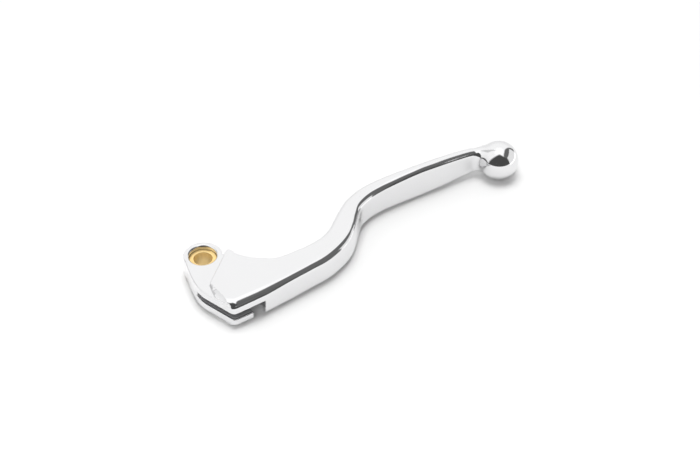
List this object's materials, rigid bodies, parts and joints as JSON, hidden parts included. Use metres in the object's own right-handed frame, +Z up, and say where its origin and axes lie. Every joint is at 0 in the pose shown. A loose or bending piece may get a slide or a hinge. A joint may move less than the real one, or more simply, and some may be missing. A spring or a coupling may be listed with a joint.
{
  "type": "clutch lever",
  "caption": "Polished aluminium clutch lever with a ball end, a cranked finger blade, slotted cable ears and a bronze bush in its pivot eye.",
  "frame": {"origin": "on the pivot axis, at the middle of the lever's thickness", "axes": "+X from the pivot to the ball end, +Y towards the handlebar, +Z up along the pivot axis"},
  "size_m": [0.1696, 0.0466, 0.0184],
  "materials": {
    "polished_aluminium": "polished cast or forged aluminium, bright",
    "bronze": "turned bronze, plain bearing"
  },
  "bodies": {
    "bush": {"pivot_bush": "bronze"},
    "lever": {"lever": "polished_aluminium"}
  },
  "joints": [
    {"name": "lever_pivot", "type": "hinge", "parent": "bush", "child": "lever", "pos_m": [0, 0, 0], "axis": [0, 0, 1], "range_deg": [0, 26]}
  ]
}
